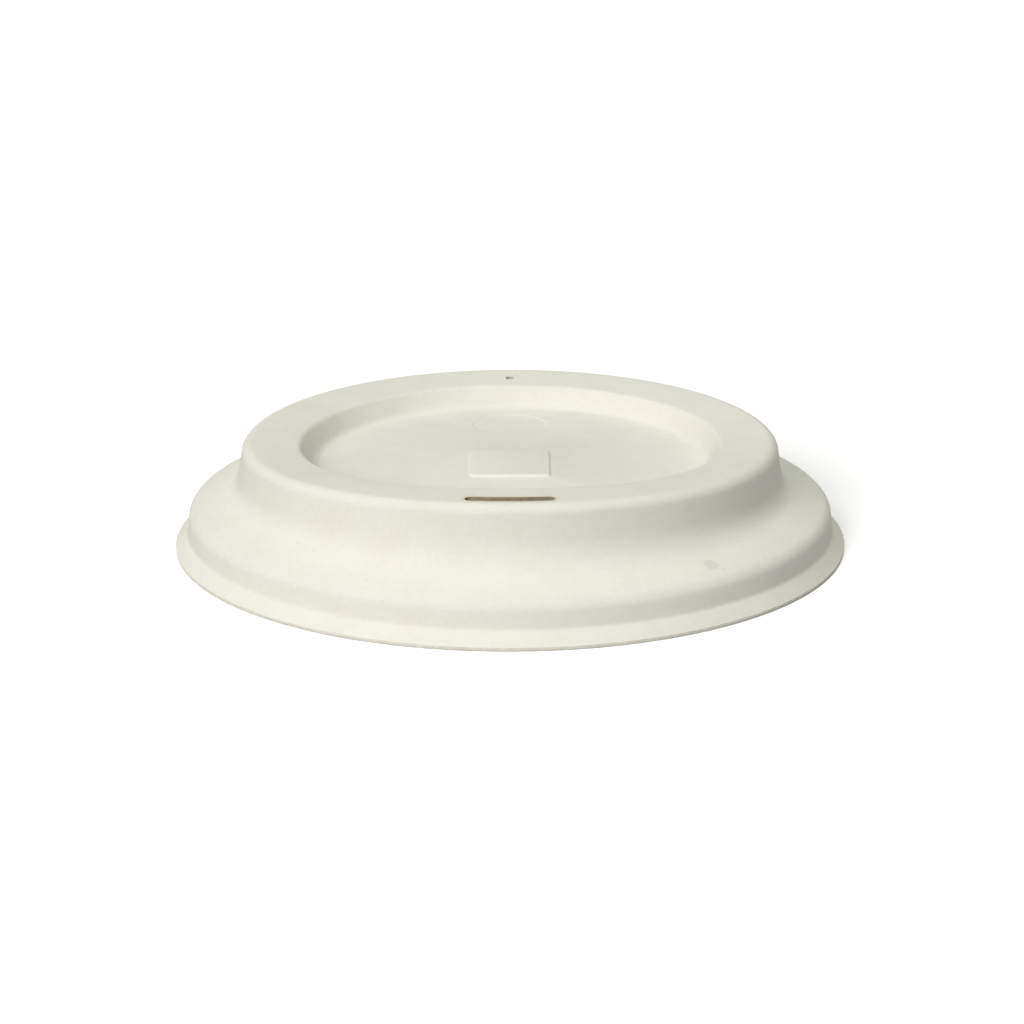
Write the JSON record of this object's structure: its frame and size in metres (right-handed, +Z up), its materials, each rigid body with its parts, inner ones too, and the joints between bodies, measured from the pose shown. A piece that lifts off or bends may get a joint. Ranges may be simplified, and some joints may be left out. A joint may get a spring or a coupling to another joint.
{
  "type": "coffee cup lid",
  "caption": "Round moulded-fibre lid for a hot drink cup, with a raised sip side, curved sip slot, vent hole, recessed floor and snap skirt.",
  "frame": {"origin": "centre of the rim's base plane, on the axis the lid is round about", "axes": "+Z up out of the lid's top, sip slot towards -Y, vent hole towards +Y"},
  "size_m": [0.094, 0.094, 0.0171],
  "materials": {
    "moulded_fibre": "matt off-white pressed plant fibre with a fine felt-like surface"
  },
  "bodies": {
    "root": {"lid": "moulded_fibre"}
  },
  "joints": []
}
